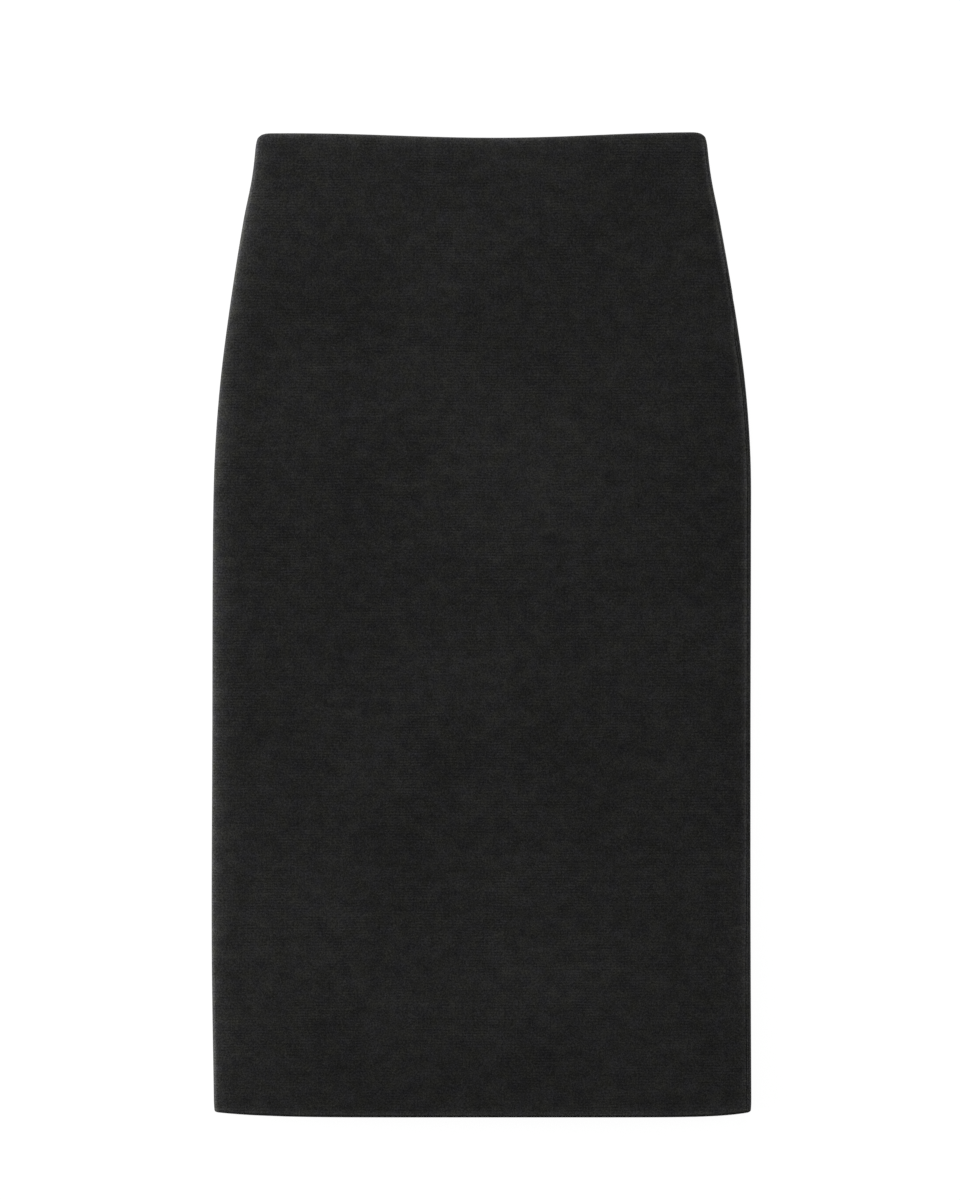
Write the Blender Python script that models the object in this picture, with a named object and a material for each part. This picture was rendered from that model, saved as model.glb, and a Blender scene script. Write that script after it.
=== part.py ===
"""Pencil skirt of dense double knit, laid flat with its front up.

Two panels, front and back, are sewn at the sides into a tube that narrows from hip to waist.
Each panel is one wall of cloth. Its waist and hem edges are turned in, so the cloth folds back
inside the tube there and the flat skirt is four layers deep instead of two.

+X is towards the wearer's left, +Y towards the waist and +Z up off the surface that it lies on.
The origin is on that surface, under the middle of the skirt.
Lengths are in millimetres, and MM brings them to Blender's metres where the meshes are made.
"""

import math
from collections import namedtuple

import bmesh
import bpy

MM = 0.001

# The cloth
WALL = 1.2  # thickness of the double knit
GAP = 0.3  # air between two layers, and between the panels at a seam

# The finished skirt
LENGTH = 786.0  # from the highest points of the waist edge to the lowest of the hem
WAIST_DIP = 4.0  # how far the waist edge sinks at its middle
WAIST_DIP_AT = 0.05  # where it is deepest, as a share of the half width
WAIST_PEAK = 0.88  # where it is highest, as a share of the half width
HEM_LIFT = 4.2  # how far the hem edge rises at the sides
HEM_LIFT_POWER = 6  # how late that rise begins
WAIST_TURNING = 35.0
HEM_TURNING = 40.0

# The folds
FOLD_RADIUS = WALL + GAP / 2  # outside of a turned edge, from the middle of the fold
FOLD_STEPS = 6
SIDE_RADIUS = 1.8  # outside of the side fold, where the skirt is two layers deep
THICK_SIDE_RADIUS = 2 * WALL + 1.5 * GAP  # the same, where it is four layers deep
EASE = 32.0  # distance over which the front comes down from four layers to two
SHOULDER = 26.0  # distance over which it comes down from the side fold to the middle

# The corners of the outline
CORNER_REACH = 9.0
CORNER_DROP = 3.4
CORNER_INSET = 2.2

# Half widths of the flat skirt, at distances below the waist edge
Girth = namedtuple("Girth", "below_waist wearers_right wearers_left")
GIRTHS = (
    Girth(0, 179.4, 179.6),
    Girth(35, 183.0, 183.4),
    Girth(70, 189.9, 190.2),
    Girth(135, 200.2, 201.0),
    Girth(200, 208.4, 209.6),
    Girth(260, 212.9, 213.9),
    Girth(325, 214.7, 214.8),
    Girth(480, 214.8, 214.8),
    Girth(650, 214.6, 214.6),
    Girth(786, 214.0, 214.0),
)

# Where a side seam lies, in quarter turns of its side fold: 0 is the fold's outermost line,
# 1 is where the front is flat, and -1 where the underside is
SEAM_UNDER = -1.25
SEAM_ON_FRONT = 1.25
TURN_STEP = 0.25  # between two stations round a side fold
TURN_STEPS = round((SEAM_ON_FRONT - SEAM_UNDER) / TURN_STEP)

# The seam on the wearer's left comes round its fold from underneath to the front between these
ROLL_START = 110.0
ROLL_END = 165.0

# Rings of the panel between its two folded edges, as distances below the waist edge
RINGS_AT_WAIST = (7, 18, WAIST_TURNING, 44, 52, 60, 70, 90)
ROLL_RING = (ROLL_END - ROLL_START) / TURN_STEPS
RINGS_AT_ROLL = tuple(ROLL_START + ROLL_RING * step for step in range(TURN_STEPS + 1))
RINGS_BELOW = (200, 250, 325, 420, 520, 620, 690, 712, 721, 730, 738, LENGTH - HEM_TURNING, 762, 775)
TURNING_RING = 14.0  # of a turning, from its folded edge

# Stations on the flat beside a side fold, by distance from the last one round it
BESIDE_A_FOLD = (5.0, 24.0)
# Stations across a panel, as shares of the half width
ACROSS = (0.6, 0.3, 0.0, -0.3, -0.6)

CLOTH_COLOUR = (0.0116, 0.0116, 0.0118, 1.0)
CLOTH_ROUGHNESS = 0.95
CLOTH_SHEEN = 0.3


def smooth_column(rows, column, below_waist):
    """The value of one column of a table, on a smooth curve through its rows."""
    at = [row.below_waist for row in rows]
    values = [getattr(row, column) for row in rows]
    last = len(rows) - 2
    row = max(0, min(last, sum(position <= below_waist for position in at) - 1))
    span = at[row + 1] - at[row]
    share = max(0.0, min(1.0, (below_waist - at[row]) / span))

    def slope(index):
        before = max(0, index - 1)
        after = min(len(rows) - 1, index + 1)
        return (values[after] - values[before]) / (at[after] - at[before])

    start, end = values[row], values[row + 1]
    return (
        start * (1 + 2 * share) * (1 - share) ** 2
        + end * (3 - 2 * share) * share**2
        + span * slope(row) * share * (1 - share) ** 2
        - span * slope(row + 1) * share**2 * (1 - share)
    )


def ease(value):
    """0 up to 0, 1 from 1 on, and a smooth step between them."""
    value = max(0.0, min(1.0, value))
    return value * value * (3 - 2 * value)


def rounding(distance, amount):
    """What a softened corner takes away at this distance from the corner."""
    return amount * max(0.0, 1 - distance / CORNER_REACH) ** 3


def side_name(side):
    return "wearers_left" if side > 0 else "wearers_right"


def half_width(side, below_waist):
    inset = rounding(below_waist, CORNER_INSET) + rounding(LENGTH - below_waist, CORNER_INSET / 2)
    return smooth_column(GIRTHS, side_name(side), below_waist) - inset


def layers_share(below_waist):
    """1 where the turnings make the skirt four layers deep, 0 where it is two deep."""
    past_waist = (below_waist - WAIST_TURNING - 1) / EASE
    past_hem = (LENGTH - below_waist - HEM_TURNING - 1) / EASE
    return 1 - ease(min(past_waist, past_hem))


def side_radius(below_waist):
    share = layers_share(below_waist)
    return SIDE_RADIUS + (THICK_SIDE_RADIUS - SIDE_RADIUS) * share


def top_height(side, across, below_waist):
    """Height of the front's upper face: two or four layers deep in the middle, a little more by the sides."""
    radius = side_radius(below_waist)
    shoulder = half_width(side, below_waist) - radius
    middle = 2 * WALL + GAP + 2 * (WALL + GAP) * layers_share(below_waist)
    return middle + (2 * radius - middle) * ease(1 - (shoulder - across) / SHOULDER)


def edge_line(side, across, below_waist):
    """Place along Y of a ring, whose ends follow the dip of the waist edge and the lift of the hem edge."""
    width = half_width(side, below_waist)
    share = side * across / width
    dip_share = (share - WAIST_DIP_AT) / (WAIST_PEAK - WAIST_DIP_AT * (1 if share > 0 else -1))
    dip = WAIST_DIP * math.cos(math.pi / 2 * max(-1.0, min(1.0, dip_share))) ** 2
    lift = HEM_LIFT * abs(share) ** HEM_LIFT_POWER
    corner = rounding(width - across, CORNER_DROP) * max(0.0, 1 - below_waist / WAIST_TURNING)
    hem_share = below_waist / LENGTH
    return LENGTH / 2 - dip * (1 - hem_share) - corner - (LENGTH - lift) * hem_share


def cloth_point(side, along, below_waist, inward):
    """A point of the cloth, inward from the skirt's outside.

    along is the distance along the outside from the outermost line of that side's fold,
    above 0 over the front and below 0 underneath.
    """
    radius = side_radius(below_waist)
    quarter = math.pi / 2 * radius
    fold_middle = half_width(side, below_waist) - radius
    if abs(along) < quarter:
        angle = along / radius
        across = fold_middle + radius * math.cos(angle)
        x = fold_middle + (radius - inward) * math.cos(angle)
        z = radius + (radius - inward) * math.sin(angle)
    else:
        x = across = fold_middle - (abs(along) - quarter)
        z = top_height(side, across, below_waist) - inward if along > 0 else inward
    return side * x, edge_line(side, across, below_waist), z


def seam_turn(side, below_waist):
    """Where the seam of this side lies, in quarter turns of the side fold."""
    if side < 0:
        return SEAM_UNDER
    rolled = max(0.0, min(1.0, (below_waist - ROLL_START) / (ROLL_END - ROLL_START)))
    return SEAM_UNDER + (SEAM_ON_FRONT - SEAM_UNDER) * rolled


def across_station(share, over):
    """A station out on the panel, at this share of the half width.

    over is 1 on the front, and -1 on the back.
    """
    side = 1 if share >= 0 else -1

    def station(below_waist):
        radius = side_radius(below_waist)
        from_fold = half_width(side, below_waist) * (1 - abs(share)) - radius
        return side, over * (from_fold + math.pi / 2 * radius)

    return station


def edge_station(side, over):
    """The station of a panel's own edge, half the seam's gap from the seam at the middle of the wall.

    over is 1 where the panel leads from its edge towards the front, and -1 towards the back.
    """

    def station(below_waist):
        radius = side_radius(below_waist)
        turn = seam_turn(side, below_waist)
        widening = radius / (radius - WALL / 2) if abs(turn) < 1 else 1
        return side, math.pi / 2 * radius * turn + over * widening * GAP / 2

    return station


def seam_station(side, over, steps, distance):
    """A station this many steps round a side fold from its seam, and then this distance along the cloth."""

    def station(below_waist):
        quarter = math.pi / 2 * side_radius(below_waist)
        turn = seam_turn(side, below_waist) + over * TURN_STEP * steps
        return side, quarter * turn + over * distance

    return station


def stations_from_seam(side, over, steps):
    """The stations from a panel's edge, round the side fold and out to the flat."""
    stations = [edge_station(side, over)]
    stations += [seam_station(side, over, step, 0) for step in range(1, steps + 1)]
    return stations + [seam_station(side, over, steps, distance) for distance in BESIDE_A_FOLD]


def fold_profile(edge, inwards):
    """Half a turn of cloth round a folded edge, as pairs of points on the cloth's face and wrong side.

    A point is a distance below the waist edge and a distance inward.
    inwards is 1 at the waist, and -1 at the hem.
    """
    pairs = []
    for step in range(FOLD_STEPS + 1):
        angle = math.pi * step / FOLD_STEPS
        middle = edge + inwards * FOLD_RADIUS
        pairs.append(
            tuple(
                (middle - inwards * radius * math.sin(angle), FOLD_RADIUS - radius * math.cos(angle))
                for radius in (FOLD_RADIUS, GAP / 2)
            )
        )
    return pairs


def panel_profile():
    """The whole cloth of a panel from the end of its waist turning to the end of its hem turning."""
    turned_face, turned_wrong = 2 * FOLD_RADIUS, WALL + GAP
    waist_turning = (WAIST_TURNING, TURNING_RING)
    hem_turning = (LENGTH - TURNING_RING, LENGTH - HEM_TURNING)
    pairs = [((depth, turned_face), (depth, turned_wrong)) for depth in waist_turning]
    pairs += reversed(fold_profile(0, 1))
    pairs += [((depth, 0), (depth, WALL)) for depth in RINGS_AT_WAIST + RINGS_AT_ROLL + RINGS_BELOW]
    pairs += fold_profile(LENGTH, -1)
    pairs += [((depth, turned_face), (depth, turned_wrong)) for depth in hem_turning]
    return pairs


def cloth_material():
    material = bpy.data.materials.new("black_double_knit")
    material.use_nodes = True
    shader = material.node_tree.nodes["Principled BSDF"]
    shader.inputs["Base Color"].default_value = CLOTH_COLOUR
    shader.inputs["Roughness"].default_value = CLOTH_ROUGHNESS
    shader.inputs["Metallic"].default_value = 0.0
    shader.inputs["Sheen Weight"].default_value = CLOTH_SHEEN
    material.diffuse_color = CLOTH_COLOUR
    return material


def make_panel(name, stations, material, collection):
    """Lofts the panel's closed profile through its stations round the tube, and closes its two seam edges."""
    profile = panel_profile()
    pairs = len(profile)
    ring = [face for face, _ in profile] + [wrong for _, wrong in reversed(profile)]
    bm = bmesh.new()
    rings = []
    for station in stations:
        points = []
        for below_waist, inward in ring:
            side, along = station(below_waist)
            point = cloth_point(side, along, below_waist, inward)
            points.append(bm.verts.new([MM * value for value in point]))
        rings.append(points)
    for here, there in zip(rings, rings[1:]):
        for first in range(len(ring)):
            second = (first + 1) % len(ring)
            bm.faces.new((here[first], here[second], there[second], there[first]))
    for end in (rings[0], rings[-1]):
        for first in range(pairs - 1):
            bm.faces.new((end[first], end[first + 1], end[-first - 2], end[-first - 1]))
    bmesh.ops.recalc_face_normals(bm, faces=bm.faces)
    bmesh.ops.triangulate(bm, faces=bm.faces, quad_method="SHORT_EDGE")
    mesh = bpy.data.meshes.new(name)
    bm.to_mesh(mesh)
    bm.free()
    mesh.shade_smooth()
    mesh.materials.append(material)
    panel = bpy.data.objects.new(name, mesh)
    collection.objects.link(panel)
    return panel


def front_stations():
    """From the seam on the wearer's left, over the top, round the other side fold to the seam underneath."""
    stations = stations_from_seam(1, 1, TURN_STEPS)
    stations += [across_station(share, 1) for share in ACROSS]
    return stations + stations_from_seam(-1, 1, TURN_STEPS)[::-1]


def back_stations():
    """From the seam on the wearer's left, round that side fold and along the surface to the other seam."""
    stations = stations_from_seam(1, -1, TURN_STEPS)
    stations += [across_station(share, -1) for share in ACROSS]
    return stations + stations_from_seam(-1, -1, 0)[::-1]


def main():
    for obj in list(bpy.data.objects):
        bpy.data.objects.remove(obj)
    skirt = bpy.data.collections.new("pencil_skirt")
    bpy.context.scene.collection.children.link(skirt)
    material = cloth_material()
    make_panel("front_panel", front_stations(), material, skirt)
    make_panel("back_panel", back_stations(), material, skirt)


main()
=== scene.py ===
"""Black double-knit pencil skirt, laid flat with its front up: the looks of its cloth.

The front and back panels are made here as soft cloth round the fixed solids of the frame: two
panels sewn at the sides, with the waist and hem edges turned in. Lengths are in millimetres.
below_waist runs from the waist edge to the hem, inward from the face of the cloth to the inside.
side is -1 on the wearer's right and 1 on the wearer's left.
"""

import math
from collections import namedtuple

import bmesh
import bpy
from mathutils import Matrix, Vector, noise


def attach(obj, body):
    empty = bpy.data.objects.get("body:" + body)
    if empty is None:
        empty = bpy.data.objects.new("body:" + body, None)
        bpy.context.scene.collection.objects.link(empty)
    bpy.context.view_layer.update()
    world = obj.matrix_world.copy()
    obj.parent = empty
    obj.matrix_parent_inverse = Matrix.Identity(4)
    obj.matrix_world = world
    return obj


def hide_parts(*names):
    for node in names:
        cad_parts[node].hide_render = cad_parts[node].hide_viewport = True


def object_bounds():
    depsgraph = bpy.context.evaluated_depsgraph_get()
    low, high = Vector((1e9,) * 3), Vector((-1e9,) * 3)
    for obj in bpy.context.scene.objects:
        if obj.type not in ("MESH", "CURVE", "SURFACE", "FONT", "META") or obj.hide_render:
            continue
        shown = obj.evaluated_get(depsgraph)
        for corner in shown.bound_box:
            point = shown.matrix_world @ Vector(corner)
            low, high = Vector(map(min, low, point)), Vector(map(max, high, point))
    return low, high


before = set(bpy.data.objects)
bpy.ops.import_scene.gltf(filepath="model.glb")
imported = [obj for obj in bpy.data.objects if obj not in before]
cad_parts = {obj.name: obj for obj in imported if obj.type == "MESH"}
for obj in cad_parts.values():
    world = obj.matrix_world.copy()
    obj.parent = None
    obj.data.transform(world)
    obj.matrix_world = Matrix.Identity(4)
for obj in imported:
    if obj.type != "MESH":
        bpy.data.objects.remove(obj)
cad_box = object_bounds()

MM = 0.001

# The cloth and the whole skirt, on the form of the solids
WALL = 1.2
AIR = 0.3
SEAM_GAP = 0.16
LENGTH = (cad_box[1][1] - cad_box[0][1]) / MM
WIDEST = (cad_box[1][0] - cad_box[0][0]) / 2 / MM
WAIST_TURNING = 35.0
HEM_TURNING = 40.0

# The waist edge dips between a peak near each side, at these shares of the half width, and tilts.
# The hem edge lifts towards its corners, each by its own power of that share.
WAIST_DIP = 4.0
WAIST_DIP_AT = 0.08
WAIST_PEAK = {-1: -0.86, 1: 0.96}
WAIST_TILT = 0.9
HEM_LIFT = 4.3
HEM_LIFT_POWER = {-1: 5.5, 1: 9.5}

# How much narrower than its widest the flat skirt is on each side
Inset = namedtuple("Inset", "below_waist wearers_right wearers_left")
INSETS = (
    Inset(0, 35.5, 35.3),
    Inset(35, 31.9, 31.5),
    Inset(70, 25.0, 24.7),
    Inset(135, 14.7, 13.4),
    Inset(200, 6.4, 4.3),
    Inset(260, 2.0, -0.1),
    Inset(325, 0.5, -0.5),
    Inset(480, 0.0, -0.2),
    Inset(650, -0.4, -0.2),
    Inset(786, 1.5, -0.7),
)

# Softened corners of the outline
CORNER_REACH = 12.0
CORNER_DROP = 3.0
WAIST_CORNER_INSET = 1.2
HEM_CORNER_INSET = 0.6

# Folds: the turned edges, and the side folds where the skirt is two or four layers deep.
# A side fold thins down from just past each turning.
FOLD_RADIUS = WALL + AIR / 2
FOLD_STEPS = 12
SIDE_RADIUS = 1.4
THICK_SIDE_RADIUS = 2 * WALL + 1.5 * AIR
PAST_TURNING = 1.0
SIDE_EASE = 190.0

# The front lifts off the folds, most by the wearer's right, and is pressed down at waist and hem
RIGHT_LIFT = 4.1
LEFT_LIFT = 1.5
HEM_PRESS = 0.5
HEM_PRESS_REACH = 260.0
WAIST_PRESS = 0.28
WAIST_PRESS_REACH = 150.0

# It rolls up over a long way on the wearer's right and at the waist, and at once elsewhere
RIGHT_ROLL = 22.0
WAIST_ROLL = 14.0
TIGHT_ROLL = 2.3
STEEPNESS = 22.0

# Seam allowances and the pressed hem leave a low bead just inside the seam and those two edges
Bead = namedtuple("Bead", "height crest reach")
HEM_BEAD = Bead(0.55, 1.9, 1.8)
SEAM_BEAD_UNDER = Bead(1.3, 2.1, 1.5)
SEAM_BEAD_ON_FRONT = Bead(1.15, 0.3, 1.9)

# The seam's place in quarter turns of its side fold, and the stretch where the one on the
# wearer's left rolls on to the front. By the hem it eases back a little.
SEAM_UNDER = -1.25
SEAM_ON_FRONT = 1.75
SEAM_EASED_BACK = 0.6
ROLL_START = 110.0
ROLL_END = 165.0
SEAM_SINK = 0.38
SEAM_SINK_REACH = 0.5

# Unevenness of the front as it lies: the height and the two lengths of each size of swell
Swell = namedtuple("Swell", "height across along shift")
SWELLS = (
    Swell(0.20, 150.0, 190.0, 3.1),
    Swell(0.06, 62.0, 80.0, 11.7),
    Swell(0.014, 24.0, 22.0, 27.3),
)

# Spacing of the mesh
TURN_STEP = 0.125
TURN_STEPS = round((SEAM_ON_FRONT - SEAM_UNDER) / TURN_STEP)
BESIDE_A_FOLD = (0.6, 1.3, 2.1, 3.0, 4.1, 5.5, 7.2, 9.2, 11.6, 14.5, 18.0, 22.0, 27.0)
ACROSS_STEPS = 78
NEAR_A_FOLD = (0.5, 1.1, 1.8, 2.7, 3.8, 5.2, 7.0, 9.2, 12.0, 15.5, 20.0)
RING_STEP = 5.0
TURNING_RINGS = (4.0, 9.0, 20.0)


def smooth_column(rows, column, below_waist):
    """The value of one column of a table, on a smooth curve through its rows."""
    at = [row.below_waist for row in rows]
    values = [getattr(row, column) for row in rows]
    last = len(rows) - 2
    row = max(0, min(last, sum(position <= below_waist for position in at) - 1))
    span = at[row + 1] - at[row]
    share = max(0.0, min(1.0, (below_waist - at[row]) / span))

    def slope(index):
        before = max(0, index - 1)
        after = min(len(rows) - 1, index + 1)
        return (values[after] - values[before]) / (at[after] - at[before])

    start, end = values[row], values[row + 1]
    return (
        start * (1 + 2 * share) * (1 - share) ** 2
        + end * (3 - 2 * share) * share**2
        + span * slope(row) * share * (1 - share) ** 2
        - span * slope(row + 1) * share**2 * (1 - share)
    )


def ease(value):
    """0 up to 0, 1 from 1 on, and a smooth step between them."""
    value = max(0.0, min(1.0, value))
    return value * value * (3 - 2 * value)


def rolled(distance, reach):
    """The rise of cloth that rolls up from an edge: 0 at the edge and 1 from its reach on."""
    left = 1 - max(0.0, min(1.0, distance / reach))
    return math.sqrt(1 - left * left)


def long_roll(distance, reach):
    """As rolled, but steeper by the edge and easing out over the whole of its reach."""
    share = max(0.0, min(1.0, distance / reach))
    full = math.log(1 + STEEPNESS) - STEEPNESS / (1 + STEEPNESS)
    return (math.log(1 + STEEPNESS * share) - share * STEEPNESS / (1 + STEEPNESS)) / full


def swelling(bead, distance):
    """The height of a bead this far in from its line: full up to its crest, then falling away."""
    return bead.height * math.exp(-max(0.0, distance - bead.crest) / bead.reach)


def rounding(distance, amount):
    """What a softened corner takes away at this distance from the corner."""
    return amount * max(0.0, 1 - distance / CORNER_REACH) ** 3


def half_width(side, below_waist):
    """How far this side of the flat skirt reaches from its middle line."""
    column = "wearers_left" if side > 0 else "wearers_right"
    waist_corner = rounding(below_waist, WAIST_CORNER_INSET)
    hem_corner = rounding(LENGTH - below_waist, HEM_CORNER_INSET)
    return WIDEST - smooth_column(INSETS, column, below_waist) - (waist_corner + hem_corner)


def layers_share(below_waist):
    """1 by the turned edges, where the skirt is four layers deep, and 0 where it is two deep."""
    past_waist = (below_waist - WAIST_TURNING - PAST_TURNING) / SIDE_EASE
    past_hem = (LENGTH - below_waist - HEM_TURNING - PAST_TURNING) / SIDE_EASE
    return 1 - ease(min(past_waist, past_hem))


Ring = namedtuple("Ring", "below_waist inward radius right left")


def ring_at(below_waist, inward):
    """A line across the cloth, with the side folds' radius and the two half widths there."""
    share = layers_share(below_waist)
    return Ring(
        below_waist,
        inward,
        SIDE_RADIUS + (THICK_SIDE_RADIUS - SIDE_RADIUS) * share,
        half_width(-1, below_waist),
        half_width(1, below_waist),
    )


def edge_line(side, across, ring):
    """Place along Y of a ring, whose ends follow the waist edge's dip and the hem edge's lift."""
    width = ring.left if side > 0 else ring.right
    share = side * across / width
    dip_share = (share - WAIST_DIP_AT) / (WAIST_PEAK[side] - WAIST_DIP_AT)
    dip = WAIST_DIP * math.cos(math.pi / 2 * max(-1.0, min(1.0, dip_share))) ** 2
    dip += WAIST_TILT * (1 - share) / 2
    raised = HEM_LIFT * abs(share) ** HEM_LIFT_POWER[side]
    by_the_waist = max(0.0, 1 - ring.below_waist / WAIST_TURNING)
    corner = rounding(width - across, CORNER_DROP) * by_the_waist
    hem_share = ring.below_waist / LENGTH
    return LENGTH / 2 - dip * (1 - hem_share) - corner - (LENGTH - raised) * hem_share


def swell(x, y):
    """How far the lying cloth rises or sinks here from its smooth form."""
    total = 0.0
    for size in SWELLS:
        place = Vector((x / size.across + size.shift, y / size.along, size.shift))
        total += size.height * noise.noise(place)
    return total


def rolled_over(below_waist):
    """How far the seam on the wearer's left is rolled on to the front: 0 underneath, 1 on top."""
    return max(0.0, min(1.0, (below_waist - ROLL_START) / (ROLL_END - ROLL_START)))


def seam_turn(side, below_waist):
    """Where the seam of this side lies, in quarter turns of the side fold."""
    if side < 0:
        return SEAM_UNDER
    by_the_hem = ease(1 - (LENGTH - below_waist) / HEM_PRESS_REACH)
    on_front = SEAM_ON_FRONT - SEAM_EASED_BACK * by_the_hem
    return SEAM_UNDER + (on_front - SEAM_UNDER) * rolled_over(below_waist)


def front_rise(side, across, ring, y):
    """How far the front stands above the plain fold: its lift, its swells and its beads."""
    width = ring.left if side > 0 else ring.right
    above_hem = LENGTH - ring.below_waist
    from_side = width - across
    edges = long_roll(ring.below_waist, WAIST_ROLL) * rolled(above_hem, TIGHT_ROLL)
    by_the_waist = ease(1 - ring.below_waist / WAIST_PRESS_REACH)
    right_lift = RIGHT_LIFT * (1 - WAIST_PRESS * by_the_waist)
    lifted = right_lift + (LEFT_LIFT - right_lift) * (1 + side * across / width) / 2
    if side > 0:
        edges *= rolled(from_side, TIGHT_ROLL)
        on_front = rolled_over(ring.below_waist)
        seam_inset = ring.radius * (1 + math.pi / 2 * (seam_turn(side, ring.below_waist) - 1))
        lifted += on_front * swelling(SEAM_BEAD_ON_FRONT, from_side - seam_inset)
        lifted += (1 - on_front) * swelling(SEAM_BEAD_UNDER, from_side)
    else:
        edges *= long_roll(from_side, RIGHT_ROLL)
    pressed = 1 - HEM_PRESS * ease(1 - above_hem / HEM_PRESS_REACH)
    return edges * (pressed * lifted + swelling(HEM_BEAD, above_hem) + swell(side * across, y))


def cloth_point(side, along, ring, inward):
    """A point of the cloth, inward from its face.

    along is the distance along the face from the outermost line of that side's fold,
    above 0 over the front and below 0 underneath.
    """
    quarter = math.pi / 2 * ring.radius
    width = ring.left if side > 0 else ring.right
    fold_middle = width - ring.radius
    if abs(along) < quarter:
        angle = along / ring.radius
        across = fold_middle + ring.radius * math.cos(angle)
        x = fold_middle + (ring.radius - inward) * math.cos(angle)
        z = ring.radius + (ring.radius - inward) * math.sin(angle)
    else:
        x = across = fold_middle - (abs(along) - quarter)
        z = 2 * ring.radius - inward if along > 0 else inward
    y = edge_line(side, across, ring)
    if along > 0:
        z += front_rise(side, across, ring, y) * ease(along / quarter)
    return side * x, y, z


def seam_station(side, over, steps, distance):
    """A station this many steps round a fold from its seam, and then this far along the cloth.

    over is 1 for the front panel and -1 for the back panel. A station takes a ring to its side,
    its distance along the face, and its distance from the seam.
    """

    def station(ring):
        quarter = math.pi / 2 * ring.radius
        seam = quarter * seam_turn(side, ring.below_waist)
        along = seam + over * (quarter * TURN_STEP * steps + distance)
        return side, along, abs(along - seam)

    return station


def across_station(share, over):
    """A station out on the panel, at this share of the stretch between the sides' stations."""
    side = 1 if share >= 0 else -1

    def station(ring):
        quarter = math.pi / 2 * ring.radius
        width = ring.left if side > 0 else ring.right
        beside_fold = quarter * (SEAM_ON_FRONT + TURN_STEP * TURN_STEPS) + BESIDE_A_FOLD[-1]
        reach = width - ring.radius - beside_fold
        from_fold = width - ring.radius - abs(share) * reach
        return side, over * (from_fold + quarter), math.inf

    return station


def stations_from_seam(side, over, steps):
    """The stations from a panel's edge, round the side fold and out to the flat."""
    stations = [seam_station(side, over, 0, SEAM_GAP / 2)]
    stations += [seam_station(side, over, step, 0) for step in range(1, steps + 1)]
    return stations + [seam_station(side, over, steps, distance) for distance in BESIDE_A_FOLD]


def stations_across(over):
    """The evenly spaced stations out on the panel, from the wearer's left to the right."""
    shares = [1 - 2 * step / ACROSS_STEPS for step in range(1, ACROSS_STEPS)]
    return [across_station(share, over) for share in shares]


def fold_profile(edge, inwards):
    """Half a turn of cloth round a folded edge, as pairs of points on its face and wrong side."""
    pairs = []
    middle = edge + inwards * FOLD_RADIUS
    for step in range(FOLD_STEPS + 1):
        angle = math.pi * step / FOLD_STEPS
        pair = [
            (middle - inwards * radius * math.sin(angle), FOLD_RADIUS - radius * math.cos(angle))
            for radius in (FOLD_RADIUS, AIR / 2)
        ]
        pairs.append(pair)
    return pairs


def ring_depths():
    """Rings of a panel between its two folds: close together by the folds, even between."""
    first = FOLD_RADIUS + NEAR_A_FOLD[-1]
    last = LENGTH - first
    count = round((last - first) / RING_STEP)
    depths = [FOLD_RADIUS + near for near in NEAR_A_FOLD[:-1]]
    depths += [first + (last - first) * step / count for step in range(count + 1)]
    return depths + [LENGTH - FOLD_RADIUS - near for near in reversed(NEAR_A_FOLD[:-1])]


def panel_profile():
    """The whole cloth of a panel from the end of its waist turning to the end of its hem turning."""
    turned_face = 2 * FOLD_RADIUS
    turned_wrong = WALL + AIR
    waist_depths = [WAIST_TURNING, *reversed(TURNING_RINGS)]
    hem_depths = [LENGTH - depth for depth in (*TURNING_RINGS, HEM_TURNING)]
    pairs = [((depth, turned_face), (depth, turned_wrong)) for depth in waist_depths]
    pairs += reversed(fold_profile(0, 1))
    pairs += [((depth, 0), (depth, WALL)) for depth in ring_depths()]
    pairs += fold_profile(LENGTH, -1)
    return pairs + [((depth, turned_face), (depth, turned_wrong)) for depth in hem_depths]


def cloth_columns(bm, rings, stations):
    """The panel's points, a column for each station, with the face sunk towards its seams."""
    columns = []
    for station in stations:
        column = []
        for ring in rings:
            side, along, from_seam = station(ring)
            sink = 0.0
            if ring.inward < WALL / 2:
                sink = SEAM_SINK * math.exp(-from_seam / SEAM_SINK_REACH)
            point = cloth_point(side, along, ring, ring.inward + sink)
            column.append(bm.verts.new([MM * value for value in point]))
        columns.append(column)
    return columns


def make_panel(name, node, stations, material):
    """Lofts the panel's closed profile through its stations, and closes its two seam edges."""
    profile = panel_profile()
    pairs = len(profile)
    outline = [face for face, _ in profile] + [wrong for _, wrong in reversed(profile)]
    rings = [ring_at(*point) for point in outline]
    bm = bmesh.new()
    columns = cloth_columns(bm, rings, stations)
    for here, there in zip(columns, columns[1:]):
        for first in range(len(rings)):
            second = (first + 1) % len(rings)
            bm.faces.new((here[first], here[second], there[second], there[first]))
    for end in (columns[0], columns[-1]):
        for first in range(pairs - 1):
            bm.faces.new((end[first], end[first + 1], end[-first - 2], end[-first - 1]))
    bmesh.ops.recalc_face_normals(bm, faces=bm.faces)
    mesh = bpy.data.meshes.new(name)
    bm.to_mesh(mesh)
    bm.free()
    mesh.shade_smooth()
    mesh.materials.append(material)
    panel = bpy.data.objects.new(name, mesh)
    bpy.context.scene.collection.objects.link(panel)
    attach(panel, "root")
    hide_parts(node)
    return panel


def linear(hex_colour):
    """An sRGB hex colour as linear RGBA."""
    channels = [int(hex_colour[place : place + 2], 16) / 255 for place in (1, 3, 5)]
    return [c / 12.92 if c <= 0.04045 else ((c + 0.055) / 1.055) ** 2.4 for c in channels] + [1.0]


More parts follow.
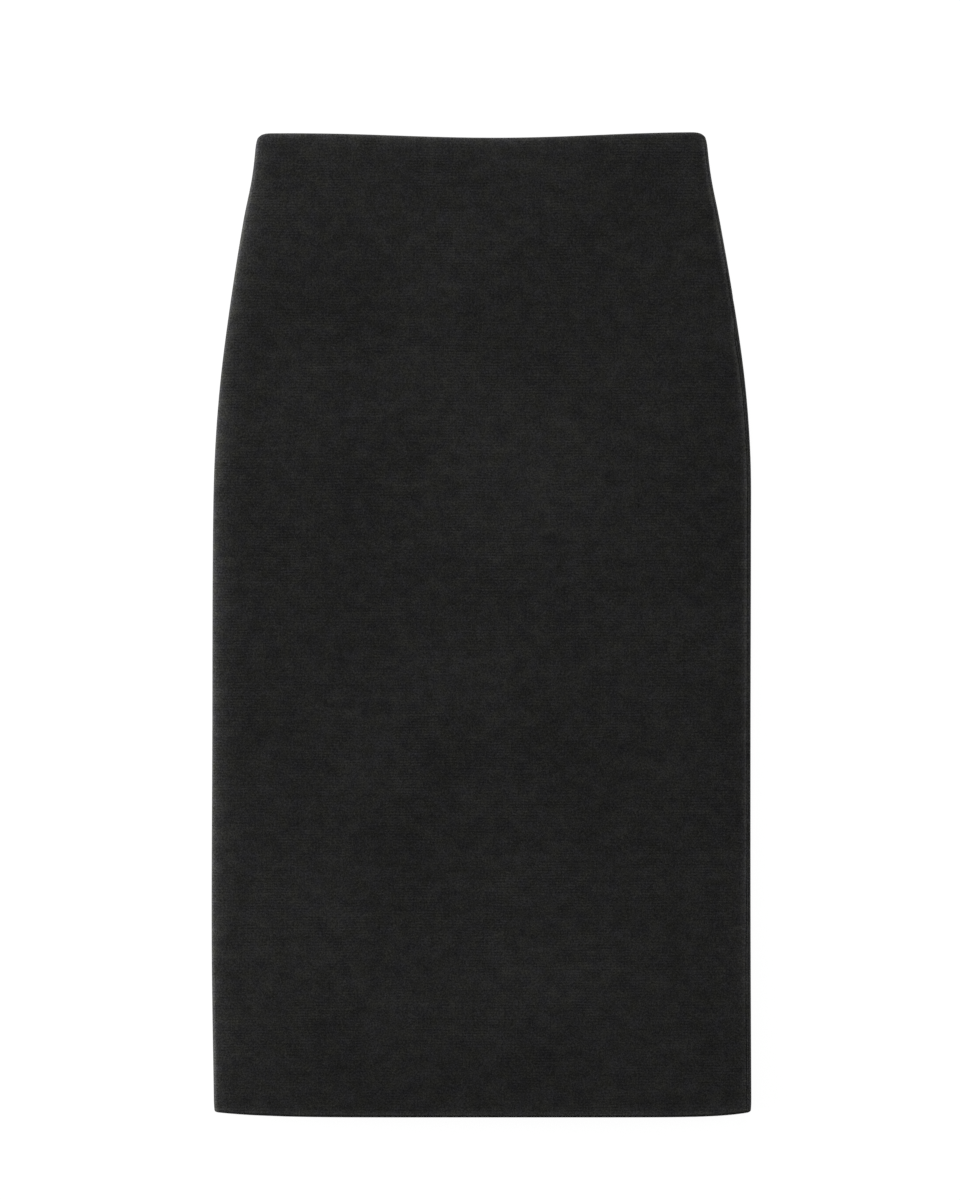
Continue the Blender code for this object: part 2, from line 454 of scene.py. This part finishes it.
def add_node(tree, kind, settings=None, links=None):
    """Adds a node with its settings, by attribute or by an input's name or place, and its links."""
    node = tree.nodes.new(kind)
    for name, value in (settings or {}).items():
        if isinstance(name, str) and hasattr(node, name):
            setattr(node, name, value)
        else:
            node.inputs[name].default_value = value
    for name, socket in (links or {}).items():
        tree.links.new(socket, node.inputs[name])
    return node


# What makes the knit uneven, each a soft noise: its size across and along the skirt, and its
# strength. They are turned, in radians, so that none of their own planes lies along the cloth.
Unevenness = namedtuple("Unevenness", "name across along detail strength")
KNIT_UNEVENNESS = (
    Unevenness("stitches", 1.0, 1.1, 1.0, 1.28),
    Unevenness("slubs", 60.0, 2.6, 1.0, 0.13),
    Unevenness("mottle", 12.0, 10.5, 2.5, 0.44),
    Unevenness("patches", 120.0, 105.0, 1.0, 0.26),
)
NOISE_TURN = (0.6, 0.45, 0.3)
NOISE_MIDDLE = 0.5

# The rows of loops, drawn as cells that are a little out of line, with painted shade darkening the
# gaps between them
LOOP_PITCH = 2.8
LOOP_DISORDER = 0.45
LOOP_SHADE_STRENGTH = 0.14

# Crosswise ribs, painted as bands of light and shade, that wander a little, and come and go from
# patch to patch
RIB_PITCH = 2.2
RIB_WANDER = 7.0
RIB_WANDER_DETAIL = 2.0
RIB_WANDER_SCALE = 0.035
RIB_SHADING_STRENGTH = 0.09
RIB_PATCH = 38.0
RIB_PATCH_DETAIL = 1.0
FAINT_RIBS = {"From Min": 0.35, "To Min": 0.2 * RIB_SHADING_STRENGTH}
CLEAR_RIBS = {"From Max": 0.65, "To Max": 1.8 * RIB_SHADING_STRENGTH}

# Black dye from its darkest to its lightest, with the painted shade of loops and ribs spread over
# the same range, and the casts it takes where it is thin
DYE_AND_SHADE_DARKEST = "#0e0e0e"
DYE_AND_SHADE_MIDDLE = "#1d1d1d"
DYE_AND_SHADE_LIGHTEST = "#323232"
Cast = namedtuple("Cast", "share colour")
WARM_CAST = Cast(0.3, "#fffff0")
COOL_CAST = Cast(0.7, "#f4f4ff")
CAST_SIZE = 9.0
CAST_DETAIL = 4.0
CAST_ROUGHNESS = 0.6

KNIT_RELIEF = 0.02


def uneven_knit(tree, place):
    """The knit's lightness from all its noises, about the middle."""
    lightness = None
    for layer in KNIT_UNEVENNESS:
        scale = [1 / MM / layer.across, 1 / MM / layer.along, 1 / MM / layer.across]
        sized = add_node(
            tree,
            "ShaderNodeMapping",
            {"label": layer.name, "Scale": scale, "Rotation": NOISE_TURN},
            {"Vector": place},
        )
        patch = add_node(
            tree,
            "ShaderNodeTexNoise",
            {"label": layer.name, "Scale": 1.0, "Detail": layer.detail},
            {"Vector": sized.outputs["Vector"]},
        )
        centred = add_node(
            tree,
            "ShaderNodeMath",
            {"operation": "SUBTRACT", 1: NOISE_MIDDLE},
            {0: patch.outputs["Fac"]},
        )
        weighed = add_node(
            tree,
            "ShaderNodeMath",
            {"operation": "MULTIPLY_ADD", 1: layer.strength, 2: NOISE_MIDDLE},
            {0: centred.outputs["Value"]},
        )
        if lightness:
            tree.links.new(lightness, weighed.inputs[2])
        lightness = weighed.outputs["Value"]
    return lightness


def with_painted_loop_shade(tree, in_mm, lightness):
    """Paints shade into the gaps between the loops, darkening them."""
    loops = add_node(
        tree,
        "ShaderNodeTexVoronoi",
        {"voronoi_dimensions": "2D", "Scale": 1 / LOOP_PITCH, "Randomness": LOOP_DISORDER},
        {"Vector": in_mm},
    )
    # Painted shade: the colour darkens towards the edge of each cell, the gap between loops
    loop_shaded = add_node(
        tree,
        "ShaderNodeMath",
        {"operation": "MULTIPLY_ADD", 1: -LOOP_SHADE_STRENGTH},
        {0: loops.outputs["Distance"], 2: lightness},
    )
    return loop_shaded.outputs["Value"]


def with_painted_rib_shading(tree, in_mm, turned, lightness):
    """Adds the crosswise ribs as painted light and shade. A wave's bands are pi / 10 apart at a
    scale of 1.
    """
    ribs = add_node(
        tree,
        "ShaderNodeTexWave",
        {
            "bands_direction": "Y",
            "Scale": math.pi / 10 / RIB_PITCH,
            "Distortion": RIB_WANDER,
            "Detail": RIB_WANDER_DETAIL,
            "Detail Scale": RIB_WANDER_SCALE,
        },
        {"Vector": in_mm},
    )
    patch = add_node(
        tree,
        "ShaderNodeTexNoise",
        {"Scale": 1 / RIB_PATCH, "Detail": RIB_PATCH_DETAIL},
        {"Vector": turned},
    )
    strength = add_node(
        tree, "ShaderNodeMapRange", FAINT_RIBS | CLEAR_RIBS, {"Value": patch.outputs["Fac"]}
    )
    centred = add_node(
        tree, "ShaderNodeMath", {"operation": "SUBTRACT", 1: NOISE_MIDDLE}, {0: ribs.outputs["Fac"]}
    )
    # Painted light and shade: the ribs' bands lighten and darken the colour's lightness
    rib_shaded = add_node(
        tree,
        "ShaderNodeMath",
        {"operation": "MULTIPLY_ADD"},
        {0: centred.outputs["Value"], 1: strength.outputs["Result"], 2: lightness},
    )
    return rib_shaded.outputs["Value"]


def black_dye_and_painted_shade(tree, turned, lightness):
    """The dyed colour with painted shade: near-black by lightness, which holds the painted shade of
    loops and ribs, cast towards warm or cool from patch to patch.
    """
    # The lightness holds the painted shade of loops and ribs besides the knit's own uneven tone
    dye_and_shade = add_node(tree, "ShaderNodeValToRGB", {}, {"Fac": lightness})
    shades = dye_and_shade.color_ramp
    shades.interpolation = "B_SPLINE"
    shades.elements[0].color = linear(DYE_AND_SHADE_DARKEST)
    shades.elements[1].color = linear(DYE_AND_SHADE_LIGHTEST)
    shades.elements.new(NOISE_MIDDLE).color = linear(DYE_AND_SHADE_MIDDLE)
    patch = add_node(
        tree,
        "ShaderNodeTexNoise",
        {"Scale": 1 / CAST_SIZE, "Detail": CAST_DETAIL, "Roughness": CAST_ROUGHNESS},
        {"Vector": turned},
    )
    casts = add_node(tree, "ShaderNodeValToRGB", {}, {"Fac": patch.outputs["Fac"]})
    for element, cast in zip(casts.color_ramp.elements, (WARM_CAST, COOL_CAST)):
        element.position = cast.share
        element.color = linear(cast.colour)
    # The colour sockets of this node are inputs 6 and 7 and output 2
    dyed_and_shaded = add_node(
        tree,
        "ShaderNodeMix",
        {"data_type": "RGBA", "blend_type": "MULTIPLY", "Factor": 1.0},
        {6: dye_and_shade.outputs["Color"], 7: casts.outputs["Color"]},
    )
    return dyed_and_shaded.outputs[2]


def black_double_knit():
    """Black polyester double knit: two beds of fine loops, dyed in the piece and steamed flat.

    It gives a matt near-black with faint crosswise ribs that come and go, a fine grain of loops,
    soft mottling, and a weak sheen where it is seen or lit at a low angle. The ribs and the gaps
    between the loops are painted light and shade in the base colour, with only a faint bump. The
    real ribs are about 1.65 mm apart and the loops under 1 mm, too fine to show in a render of the
    whole skirt, so the ribs are drawn a third wider and the loops as cells of 2.8 mm.
    """
    material = bpy.data.materials.new("black_double_knit")
    material.use_nodes = True
    tree = material.node_tree
    shader = tree.nodes["Principled BSDF"]
    shader.inputs["Roughness"].default_value = 0.9
    shader.inputs["Specular IOR Level"].default_value = 0.0
    shader.inputs["Sheen Weight"].default_value = 0.012
    shader.inputs["Sheen Roughness"].default_value = 0.35

    place = add_node(tree, "ShaderNodeTexCoord").outputs["Object"]
    sized = add_node(tree, "ShaderNodeMapping", {"Scale": [1 / MM] * 3}, {"Vector": place})
    in_mm = sized.outputs["Vector"]
    rotated = add_node(tree, "ShaderNodeMapping", {"Rotation": NOISE_TURN}, {"Vector": in_mm})
    turned = rotated.outputs["Vector"]

    lightness = uneven_knit(tree, place)
    lightness = with_painted_loop_shade(tree, in_mm, lightness)
    lightness = with_painted_rib_shading(tree, in_mm, turned, lightness)
    tree.links.new(black_dye_and_painted_shade(tree, turned, lightness), shader.inputs["Base Color"])
    relief = add_node(
        tree,
        "ShaderNodeBump",
        {"Strength": 1.0, "Distance": KNIT_RELIEF * MM},
        {"Height": lightness},
    )
    tree.links.new(relief.outputs["Normal"], shader.inputs["Normal"])
    return material


# The table and the view in metres, and the camera's lens and film in millimetres
FLOOR_SIZE = 60
FLOOR_DROP = 0.0002
VIEW_HEIGHT = 0.9571
VIEW_MIDDLE = (-0.00104, 0.01976)
CLOTH_TOP = 0.005
LENS = 100
FILM_WIDTH = 36


def pale_floor():
    """A light table: white acrylic lit from below, which leaves hardly any shadow on it."""
    bpy.ops.mesh.primitive_plane_add(size=FLOOR_SIZE, location=(0, 0, -FLOOR_DROP))
    floor = bpy.context.object
    floor.name = "pale_floor"
    material = bpy.data.materials.new("lit_white_acrylic")
    material.use_nodes = True
    shader = material.node_tree.nodes["Principled BSDF"]
    shader.inputs["Base Color"].default_value = linear("#595959")
    shader.inputs["Roughness"].default_value = 0.9
    shader.inputs["Specular IOR Level"].default_value = 0.0
    shader.inputs["Emission Color"].default_value = linear("#ffffff")
    shader.inputs["Emission Strength"].default_value = 0.93
    floor.data.materials.append(material)


# Soft lamps round the table, aimed at its middle: bearing and elevation in degrees, distance and
# size in metres, and strength in watts
Lamp = namedtuple("Lamp", "name bearing elevation distance wide high watts")
LAMPS = (
    Lamp("wearers_right", 180, 4.4, 2.0, 2.0, 0.25, 285),
    Lamp("waist", 90, 4.4, 2.7, 2.4, 0.25, 330),
    Lamp("wearers_left", 0, 9.0, 4.0, 3.0, 0.5, 215),
    Lamp("hem", 270, 9.0, 4.0, 3.0, 0.5, 28),
)


def studio_light():
    """A dim white room and the lamps, low enough to show the rolled edges."""
    world = bpy.data.worlds.new("white_room")
    bpy.context.scene.world = world
    world.use_nodes = True
    background = world.node_tree.nodes["Background"]
    background.inputs["Color"].default_value = linear("#ffffff")
    background.inputs["Strength"].default_value = 0.3
    for lamp in LAMPS:
        light = bpy.data.lights.new(lamp.name, "AREA")
        light.shape = "RECTANGLE"
        light.size = lamp.wide
        light.size_y = lamp.high
        light.energy = lamp.watts
        stand = bpy.data.objects.new(lamp.name, light)
        bpy.context.scene.collection.objects.link(stand)
        bearing = math.radians(lamp.bearing)
        elevation = math.radians(lamp.elevation)
        stand.location = (
            lamp.distance * math.cos(elevation) * math.cos(bearing),
            lamp.distance * math.cos(elevation) * math.sin(bearing),
            lamp.distance * math.sin(elevation),
        )
        stand.rotation_euler = (-stand.location).to_track_quat("-Z", "Y").to_euler()
        stand.visible_camera = False


def camera_above():
    """A camera straight above, which sees VIEW_HEIGHT of the table from top to bottom."""
    data = bpy.data.cameras.new("camera")
    data.lens = LENS
    data.sensor_width = FILM_WIDTH
    camera = bpy.data.objects.new("camera", data)
    bpy.context.scene.collection.objects.link(camera)
    camera.location = (*VIEW_MIDDLE, CLOTH_TOP + VIEW_HEIGHT * data.lens / data.sensor_width)
    bpy.context.scene.camera = camera


cloth = black_double_knit()
front_stations = stations_from_seam(1, 1, TURN_STEPS) + stations_across(1)
front_stations += reversed(stations_from_seam(-1, 1, TURN_STEPS))
front = make_panel("front_cloth", "front_panel", front_stations, cloth)
back_stations = stations_from_seam(1, -1, TURN_STEPS) + stations_across(-1)
back_stations += reversed(stations_from_seam(-1, -1, 0))
back = make_panel("back_cloth", "back_panel", back_stations, cloth)

pale_floor()
studio_light()
camera_above()
bpy.context.scene.view_settings.view_transform = "Standard"
